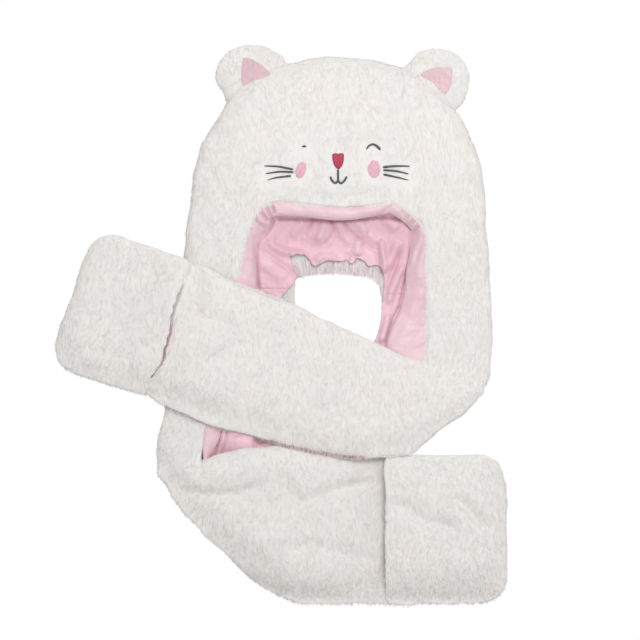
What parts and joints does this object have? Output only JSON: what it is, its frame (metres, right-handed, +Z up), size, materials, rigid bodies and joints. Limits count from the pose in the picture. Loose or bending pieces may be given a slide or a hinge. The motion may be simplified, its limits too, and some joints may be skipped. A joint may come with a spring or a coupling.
{
  "type": "plush animal hood scarf",
  "caption": "Plush animal hood with round ears, an embroidered face, a pink lining and scarf arms that end in hand pockets, lying flat with its arms folded across.",
  "frame": {"origin": "on the flat underside of the hood, on its centre line, under the forehead", "axes": "+X to the viewer's right, +Y towards the crown, +Z up from the surface that it lies on, face up"},
  "size_m": [0.4338, 0.5414, 0.0513],
  "materials": {
    "plush": "short white pile",
    "lining": "soft pink velour with a low sheen",
    "blush": "soft pink velour",
    "cheek": "pink satin stitch",
    "nose": "rose satin stitch",
    "thread": "dark grey embroidery thread"
  },
  "bodies": {
    "root": {"hood_fur": "plush", "hood_lining": "lining", "face_casing": "lining", "ear_left": "plush", "ear_right": "plush", "ear_inner_left": "blush", "ear_inner_right": "blush", "nose": "nose", "mouth": "thread", "cheek_left": "cheek", "cheek_right": "cheek", "eye_left": "thread", "eye_right": "thread", "whisker_left_1": "thread", "whisker_left_2": "thread", "whisker_left_3": "thread", "whisker_right_1": "thread", "whisker_right_2": "thread", "whisker_right_3": "thread", "scarf_under_fur": "plush", "scarf_under_lining": "lining", "pocket_under": "plush", "pocket_lining_under": "lining", "scarf_over_fur": "plush", "scarf_over_lining": "lining", "pocket_over": "plush", "pocket_lining_over": "lining"}
  },
  "joints": []
}
